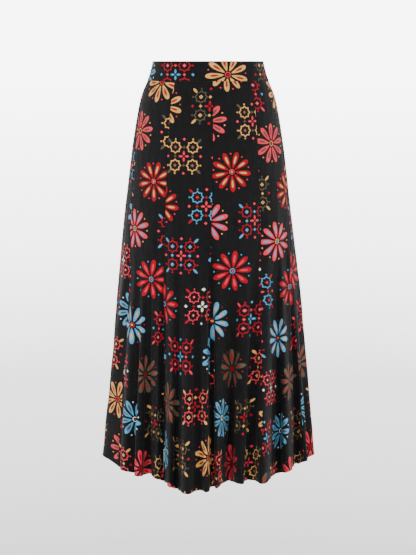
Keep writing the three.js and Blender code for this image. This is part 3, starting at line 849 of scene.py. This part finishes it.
def flower(cloth, x, y, row, column):
    """Nine petals in two tones on the ground, dots between them, and an eye."""
    radius = length(x, y)
    sector = 2 * math.pi / PETALS
    pair = cell_tone(column, row, FLOWER_STEPS)
    petals, hearts, dots = (cloth.pick(pair, names) for names in FLOWER_INKS)
    turned = (column * TURN_STEPS[0] + row * TURN_STEPS[1]).math("FRACT")
    angle = y.math("ARCTAN2", x) + turned * sector
    turn = angle.wrap(sector)
    along, side = radius * turn.math("COSINE"), (radius * turn.math("SINE")).abs()
    colour = "ground"
    for ink, (start, long, width, flare) in ((petals, PETAL), (hearts, HEART)):
        part = along_part(along, start, long)
        colour = cloth.lay(colour, ink, inside(side - bump_width(part, part * flare + width)))
    between = (angle + sector / 2).wrap(sector)
    spot = length(radius * between.math("COSINE") - DOT[0], radius * between.math("SINE"))
    colour = cloth.lay(colour, dots, inside(spot - DOT[1]))
    colour = cloth.lay(colour, dots, inside((radius - RING[0]).abs() - RING[1]))
    return cloth.lay(colour, hearts, inside(radius - EYE))


def block(cloth, colour, x, y, row, cell):
    """Four outlined eight-point stars about a floret, with leaves at the corners."""
    bx, by = (x.abs() - PITCH / 2).abs(), y.abs()
    tone = cell_tone(cell, row, BLOCK_STEPS)
    first, second, third = (cloth.pick(tone, names) for names in BLOCK_INKS)
    sx, sy = (bx - STAR_AT).abs(), (by - STAR_AT).abs()
    star = sx.most(sy).least((sx + sy) * HALF_ROOT)
    colour = cloth.lay(colour, first, inside((star - STAR[0]).abs() - STAR[1]))
    for ink, size in zip((second, third), STAR_HEARTS):
        colour = cloth.lay(colour, ink, inside(sx + sy - size))
    slant, cross = (bx + by) * HALF_ROOT, (bx - by).abs() * HALF_ROOT
    high, low = bx.most(by), bx.least(by)
    for ink, leaf, way, side in ((second, LEAF, slant, cross), (third, LOBE, high, low)):
        start, long, width = leaf
        half = bump_width(along_part(way, start, long), width)
        colour = cloth.lay(colour, ink, inside(side - half))
    for ink, away in zip((second, third), DIAMONDS):
        colour = cloth.lay(colour, ink, inside((high - away).abs() + low - DIAMOND))
    return cloth.lay(colour, first, inside(length(high - DIAMONDS[1], low - STAR_AT) - BLOCK_DOT))


def lining_material(name):
    """Smooth satin with fine ribs."""
    cloth = Cloth(name)
    rib = cloth.ribs(cloth.u, pitch=0.9, grain=500)
    colour = cloth.lay("satin", "satin shade", cloth.noise(14, 3))
    return cloth.finish(colour, rib, distance=0.0002, roughness=0.42, sheen=0.08, specular=0.35)


def tape_material(name):
    """Woven tape and thread, ribbed across."""
    cloth = Cloth(name)
    rib = cloth.ribs(cloth.v, pitch=1.1, grain=700)
    colour = cloth.lay("ground", "shade", cloth.noise(60, 2))
    return cloth.finish(colour, rib, distance=0.0003, roughness=0.8, sheen=0.02, specular=0.1)


def metal_material(name):
    """Black enamel, a little uneven."""
    material, tree, shader = new_material(name)
    noise = tree.nodes.new("ShaderNodeTexNoise")
    set_inputs(noise, {"Scale": 900})
    ramp = tree.nodes.new("ShaderNodeValToRGB")
    ramp.color_ramp.elements[0].color = (0.012, 0.012, 0.014, 1)
    ramp.color_ramp.elements[1].color = (0.05, 0.05, 0.055, 1)
    tree.links.new(noise.outputs["Fac"], ramp.inputs[0])
    tree.links.new(ramp.outputs[0], shader.inputs["Base Color"])
    bump = tree.nodes.new("ShaderNodeBump")
    set_inputs(bump, {"Distance": 0.0001})
    tree.links.new(noise.outputs["Fac"], bump.inputs["Height"])
    tree.links.new(bump.outputs[0], shader.inputs["Normal"])
    set_inputs(shader, {"Metallic": 0.4, "Roughness": 0.3})
    return material


PRINT = printed("printed_cloth")
LINING = lining_material("lining_cloth")
TAPE = tape_material("zip_tape")
METAL = metal_material("zip_metal")


def dress(obj, material, slot, *nodes):
    """Gives a piece its material and body, and hides the CAD nodes that it replaces. Its slot is not
    used.
    """
    obj.data.materials.append(material)
    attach(obj, "skirt")
    if nodes:
        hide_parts(*nodes)
    return obj


# Machine stitches: pitch, length and thickness, and how far below the turned cloth's raw edge they run
STITCH_PITCH, STITCH_LENGTH, STITCH_SIZE, STITCH_BELOW = 3.4, 2.6, 0.45, 1.5


def sew(made, label, node, material, slot, rows, thickness):
    """Dresses a hung piece and stitches its hem on the outer face."""
    obj, points, wide, long, area = made
    dress(obj, material, slot, node)
    drops, inward = rows
    points = points[inward == 0]
    row = int(np.argmin(np.abs(drops[inward == 0] - drops[-1] - STITCH_BELOW)))
    normal = outward(points)[row]
    line = points[row] + normal * thickness / 2
    thread = stitches("stitches_" + label, line, normal, STITCH_PITCH, STITCH_LENGTH, STITCH_SIZE)
    dress(thread, TAPE, "zip_tape")
    wide * MM
    long * MM
    area * MM * MM


for band, first, last, offset, zip_side in BAND_PIECES:
    obj, width = make_band(band + "_cloth", first, last, offset, zip_side)
    dress(obj, PRINT, "waistband_cloth", band)

gore_rows = turned_rows(GORE_TOP, LENGTH, GORE_ROWS, HEM_TURN)
for number, (label, offset, zip_side) in enumerate(GORES):
    node = "gore_" + label
    made = hang(node + "_cloth", partial(skirt_point, number), partial(gore_relief, number),
                gore_rows, GORE_COLUMNS, zip_side, CLOTH, offset)
    sew(made, label, node, PRINT, "printed_cloth", gore_rows, CLOTH)

# The lining's own unevenness, as above, where it begins and over what drop it grows
LINING_DRAPE = (200, 0.9, 6, 45, 120)
DRIFT_FROM, DRIFT_RUN = 330.0, 300.0
LINING_COLUMNS, LINING_ROWS = 64, 90
LINING_TOP, LINING_TURN = GORE_TOP + 0.9, 10.0


def lining_relief(number, share, width, drop):
    """How far the lining stands out from its middle surface."""
    grown = np.clip((drop - DRIFT_FROM) / DRIFT_RUN, 0, 1)
    return uneven(LINING_DRAPE, number, share * width, drop) * grown


lining_rows = turned_rows(LINING_TOP, LINING_END, LINING_ROWS, LINING_TURN)
for number, (panel, first, last) in enumerate(LINING_PANELS):
    made = hang(panel + "_cloth", partial(lining_point, first, last), partial(lining_relief, number),
                lining_rows, LINING_COLUMNS, None, LINING_CLOTH, (0.0, 0.0))
    sew(made, panel, panel, LINING, "lining_cloth", lining_rows, LINING_CLOTH)


# One lip of the zip's tape from the groove outward: distance from the middle, and height above the
# skirt's middle surface. Then the tape's thickness, top and rows, and the coil's height, pitch,
# length and thickness of a loop
LIP = np.array([(0.6, -0.35), (0.72, 0.1), (0.95, 0.35), (1.3, 0.45), (1.75, 0.35), (2.3, 0.15),
                (2.95, -0.25)])
TAPE_CLOTH, ZIP_TOP, ZIP_ROWS = 0.35, 2.0, 140
COIL_RAISED, COIL_PITCH, COIL_LOOP, COIL_SIZE = 0.1, 1.1, 0.95, 0.8


def make_zip():
    """Concealed zip: two rounded lips of tape beside a groove, with its coil down in the groove."""
    drops = np.linspace(ZIP_TOP, ZIP_END, ZIP_ROWS)
    across, raised = np.concatenate([LIP[::-1] * (-1, 1), LIP]).T
    back = smooth_rows(SECTIONS, drops)[:, 2]
    points = np.stack(np.broadcast_arrays(-across, back[:, None] + raised, -drops[:, None]), -1)
    cloth = np.stack(np.broadcast_arrays(across, drops[:, None]), -1)
    strip = shell("zip_strip_cloth", points, TAPE_CLOTH, cloth)
    line = np.column_stack([np.zeros(len(drops)), back + COIL_RAISED, -drops])
    behind = np.broadcast_to([0.0, 1.0, 0.0], line.shape)
    return strip, stitches("zip_coil", line, behind, COIL_PITCH, COIL_LOOP, COIL_SIZE)


strip, coil = make_zip()
dress(strip, TAPE, "zip_tape", "zip_strip")
dress(coil, TAPE, "zip_tape")

for node in ("zip_slider", "zip_pull"):
    metal = bpy.data.objects[node]
    metal.data.materials.clear()
    metal.data.materials.append(METAL)
    soften = metal.modifiers.new("soften", "BEVEL")
    soften.width = 0.15 * MM
    soften.segments = 2


# The floor in metres: radii of the rings of its flat part, its height, the wall's top, and the radius
# of the bend between them with its first angle and number of rings. Points in a ring
FLOOR_RINGS, FLOOR_HEIGHT, WALL_TOP = (0.0005, 1.0, 2.0, 3.0, 4.0, 5.0), -3.2, 9.0
FLOOR_BEND, BEND_FIRST, BEND_RINGS = 3.0, 0.1, 16
FLOOR_SIDES = 96
# Its glow by the way out from the middle: slope and start of three stretches, then least and most
GLOW = [(0.405, -1.75), (1.65, -10.4), (-1.6, 22.8)]
GLOW_LEAST, GLOW_MOST = 0.15, 6.2


def make_floor():
    """Pale bowl: a flat floor that curves up into a round wall. It glows more the further out it is,
    as a lit backdrop does, and less again high up."""
    flat, bend, low = FLOOR_RINGS[-1], FLOOR_BEND, FLOOR_HEIGHT
    profile = [(r, low, r) for r in FLOOR_RINGS]
    profile += [(flat + bend * math.sin(a), low + bend * (1 - math.cos(a)), flat + bend * a)
                for a in np.linspace(BEND_FIRST, math.pi / 2, BEND_RINGS)]
    profile += [(flat + bend, WALL_TOP, flat + bend * math.pi / 2 + WALL_TOP - low - bend)]
    turns = [2 * math.pi * k / FLOOR_SIDES for k in range(FLOOR_SIDES)]
    corners = [(r * math.cos(a) / MM, r * math.sin(a) / MM, z / MM)
               for r, z, _ in profile for a in turns]
    floor = mesh_object("floor", corners, tube(len(profile), FLOOR_SIDES)[1])
    reach = floor.data.attributes.new("reach", "FLOAT", "POINT")
    reach.data.foreach_set("value", [p for _, _, p in profile for _ in turns])
    material, tree, shader = new_material("floor")
    set_inputs(shader, {"Base Color": (0.5, 0.5, 0.5, 1), "Roughness": 0.9, "Specular IOR Level": 0.1,
                        "Emission Color": (1, 1, 1, 1)})
    attribute = tree.nodes.new("ShaderNodeAttribute")
    attribute.attribute_name = "reach"
    out = Value(tree, attribute.outputs["Fac"])
    near, far, high = (out * slope + start for slope, start in GLOW)
    glow = near.most(far).least(high).least(GLOW_MOST).most(GLOW_LEAST)
    tree.links.new(glow.socket, shader.inputs["Emission Strength"])
    floor.data.materials.append(material)


make_floor()


# Lights: name, place and size in metres, and power in watts
LIGHTS = [
    ("key", (-1.4, -3.4, 2.2), 1.4, 60), ("fill", (2.4, -3.0, 1.2), 2.0, 8),
    ("back", (0, 3.6, 2.6), 2.0, 30)]
WORLD_STRENGTH = 0.25
# Camera at the height of the waist: distance in metres, degrees down, sensor and lens in millimetres
CAMERA_AWAY, CAMERA_PITCH, SENSOR, LENS = 2.7, 10.5816, 36, 75.17


def soft_light(name, place, size, power):
    """Round area light that points at the middle of the skirt."""
    light = bpy.data.lights.new(name, "AREA")
    light.shape = "DISK"
    light.size = size
    light.energy = power
    obj = add_object(name, light)
    obj.location = place
    middle = Vector((0, 0, -LENGTH * MM / 2))
    obj.rotation_euler = (middle - obj.location).to_track_quat("-Z", "Y").to_euler()


for light_row in LIGHTS:
    soft_light(*light_row)

world = bpy.data.worlds.new("studio")
world.use_nodes = True
set_inputs(world.node_tree.nodes["Background"], {"Color": (1, 1, 1, 1), "Strength": WORLD_STRENGTH})
bpy.context.scene.world = world

camera = bpy.data.cameras.new("camera")
camera.sensor_width = SENSOR
camera.lens = LENS
view = add_object("camera", camera)
view.location = (0, -CAMERA_AWAY, 0)
view.rotation_euler = (math.radians(90 - CAMERA_PITCH), 0, 0)
bpy.context.scene.camera = view
